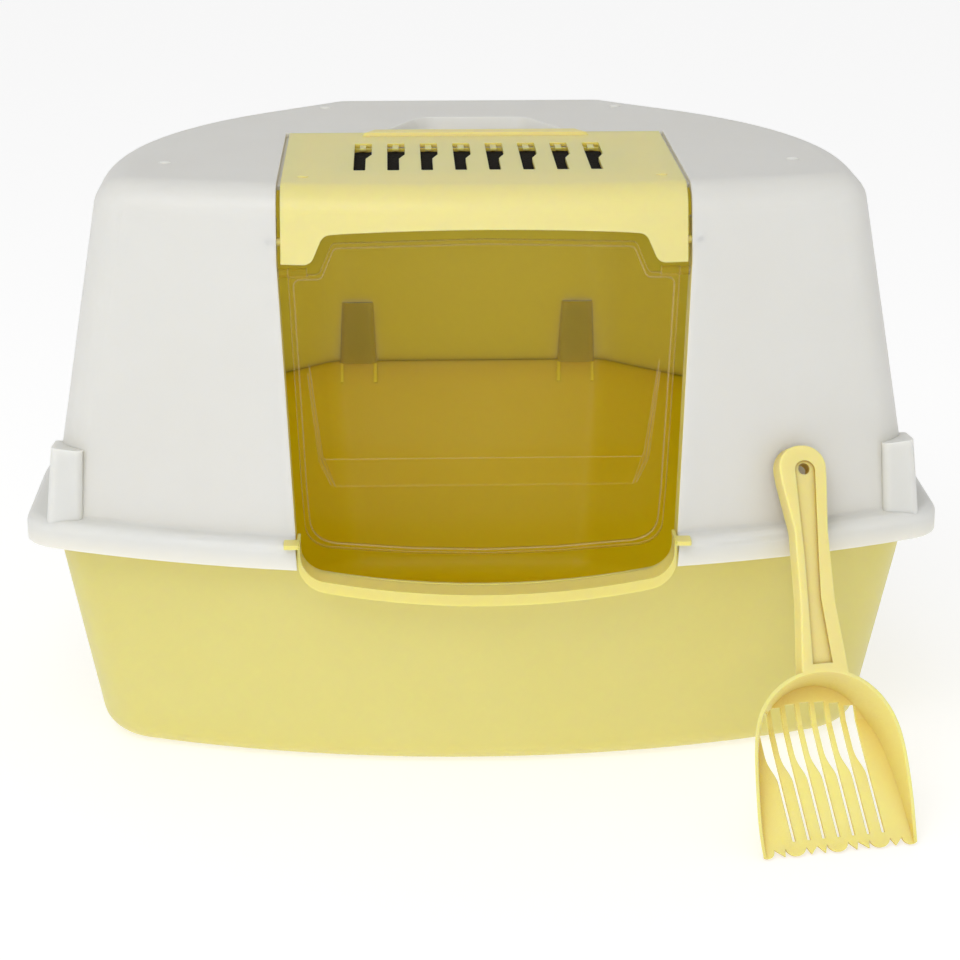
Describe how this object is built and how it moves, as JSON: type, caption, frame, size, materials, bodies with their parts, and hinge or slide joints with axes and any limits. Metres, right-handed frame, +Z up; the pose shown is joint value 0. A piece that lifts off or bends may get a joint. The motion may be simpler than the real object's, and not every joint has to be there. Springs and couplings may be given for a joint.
{
  "type": "cat litter box with hood",
  "caption": "Corner litter box: tray with a bulging front and a lowered entry sill, lift-off hood, hinged vent cover over a carbon pad, clear swing flap and a leaning scoop.",
  "frame": {"origin": "centre of the tray's underside, on the floor", "axes": "+X to the right seen from the front, +Y towards the flat back wall, +Z up; the door faces -Y"},
  "size_m": [0.564, 0.5384, 0.3682],
  "materials": {
    "yellow_polypropylene": "fine satin texture",
    "white_polypropylene": "fine satin texture",
    "carbon_foam": "open-cell foam",
    "clear_polystyrene": "clear, slightly hazy"
  },
  "bodies": {
    "tray": {"tray": "yellow_polypropylene"},
    "hood": {"hood": "white_polypropylene"},
    "visor": {"visor": "yellow_polypropylene", "filter_pad": "carbon_foam", "filter_cradle": "yellow_polypropylene"},
    "flap": {"flap": "clear_polystyrene"},
    "scoop": {"scoop": "yellow_polypropylene"}
  },
  "joints": [
    {"name": "hood_lift", "type": "slide", "parent": "tray", "child": "hood", "axis": [0, 0, 1], "range_m": [0, 0.25]},
    {"name": "visor_hinge", "type": "hinge", "parent": "hood", "child": "visor", "pos_m": [0, -0.1615, 0.3335], "axis": [1, 0, 0], "range_deg": [0, 60]},
    {"name": "flap_hinge", "type": "hinge", "parent": "hood", "child": "flap", "pos_m": [0, -0.16, 0.314], "axis": [-1, 0, 0], "range_deg": [-80, 80]},
    {"name": "scoop_take_away", "type": "slide", "parent": "hood", "child": "scoop", "axis": [0, -1, 0], "range_m": [0, 0.25]}
  ]
}
